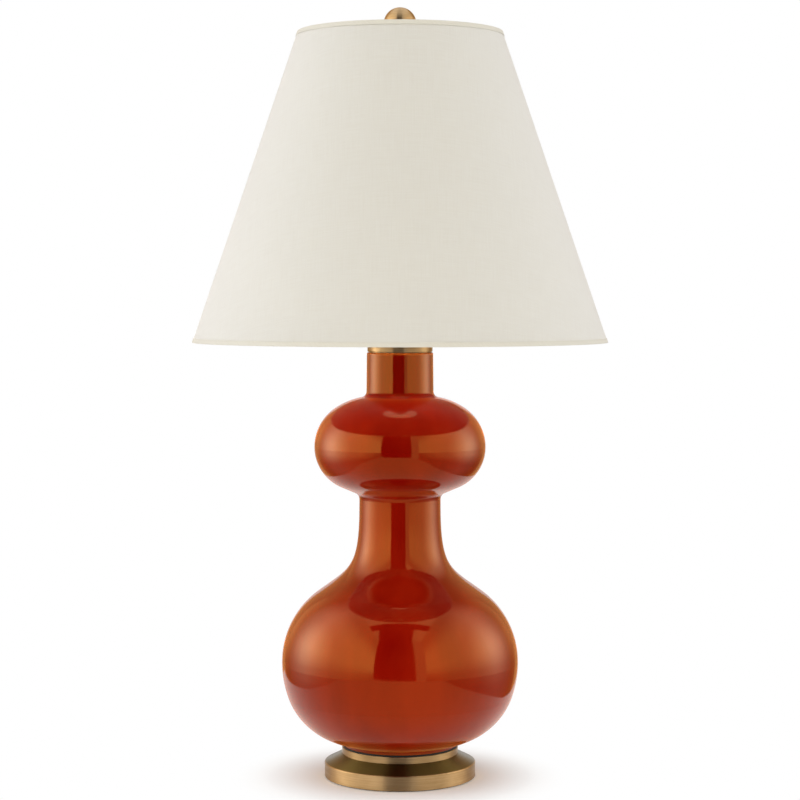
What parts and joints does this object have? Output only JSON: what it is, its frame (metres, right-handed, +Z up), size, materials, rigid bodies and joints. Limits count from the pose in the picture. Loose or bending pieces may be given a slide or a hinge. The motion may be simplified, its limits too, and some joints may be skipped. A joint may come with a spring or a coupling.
{
  "type": "table lamp",
  "caption": "Table lamp with a glazed double gourd ceramic body on a turned brass base, a hardback empire shade, a ball finial and a turn-key socket.",
  "frame": {"origin": "centre of the felt's underside, on the lamp's axis", "axes": "+Z up along the lamp's axis, -Y to the front with the turn key, +X to the right seen from the front"},
  "size_m": [0.4112, 0.4112, 0.763],
  "materials": {
    "felt": "needled felt",
    "antique_brass": "antique finish, finely turned",
    "socket_brass": "bright dipped",
    "rubber": "matt",
    "cast_iron": "as cast",
    "zinc_steel": "zinc plated",
    "glaze": "high gloss orange-red glaze",
    "shade_paper": "natural linen laminate",
    "shade_tape": "natural cotton tape",
    "ring_steel": "white painted wire",
    "fibre": "vulcanised fibre",
    "phenolic": "moulded phenolic",
    "aluminium": "rolled",
    "knob_plastic": "moulded",
    "frosted_glass": "frosted",
    "black_glass": "fused",
    "solder": "tinned"
  },
  "bodies": {
    "lamp": {"felt_pad": "felt", "base_plinth": "antique_brass", "cord_bushing": "phenolic", "seat_ring": "antique_brass", "base_gasket": "rubber", "base_weight": "cast_iron", "lock_washer": "zinc_steel", "lock_nut": "socket_brass", "lamp_pipe": "zinc_steel", "ceramic_body": "glaze", "foot_washer": "zinc_steel", "body_cap": "antique_brass", "cap_nut": "socket_brass", "riser": "antique_brass", "harp_saddle": "antique_brass", "harp_bow": "antique_brass", "harp_stud": "antique_brass", "socket_cap": "socket_brass", "socket_shell": "socket_brass", "socket_liner": "fibre", "socket_block": "phenolic", "screw_shell": "aluminium", "centre_contact": "socket_brass", "terminal_screws": "socket_brass"},
    "shade": {"shade_panel": "shade_paper", "shade_top_trim": "shade_tape", "shade_bottom_trim": "shade_tape", "shade_top_ring": "ring_steel", "shade_bottom_ring": "ring_steel", "spider_arms": "ring_steel", "spider_washer": "ring_steel"},
    "finial": {"finial_base": "antique_brass", "finial_ball": "antique_brass"},
    "bulb": {"bulb_glass": "frosted_glass", "bulb_cap": "aluminium", "bulb_insulator": "black_glass", "bulb_contact": "solder"},
    "turn_key": {"switch_shaft": "zinc_steel", "switch_knob": "knob_plastic"},
    "ferrule_left": {"ferrule_left": "antique_brass"},
    "ferrule_right": {"ferrule_right": "antique_brass"}
  },
  "joints": [
    {"name": "shade_swivel", "type": "hinge", "parent": "lamp", "child": "shade", "pos_m": [0, 0, 0.7264], "axis": [0, 0, 1], "continuous": true},
    {"name": "finial_turn", "type": "hinge", "parent": "lamp", "child": "finial", "pos_m": [0, 0, 0.7282], "axis": [0, 0, 1], "continuous": true},
    {"name": "bulb_turn", "type": "hinge", "parent": "lamp", "child": "bulb", "pos_m": [0, 0, 0.4808], "axis": [0, 0, 1], "continuous": true},
    {"name": "key_turn", "type": "hinge", "parent": "lamp", "child": "turn_key", "pos_m": [0, -0.0186, 0.4716], "axis": [0, -1, 0], "continuous": true},
    {"name": "ferrule_left_lift", "type": "slide", "parent": "lamp", "child": "ferrule_left", "axis": [0, 0, 1], "range_m": [0, 0.012]},
    {"name": "ferrule_right_lift", "type": "slide", "parent": "lamp", "child": "ferrule_right", "axis": [0, 0, 1], "range_m": [0, 0.012]}
  ]
}
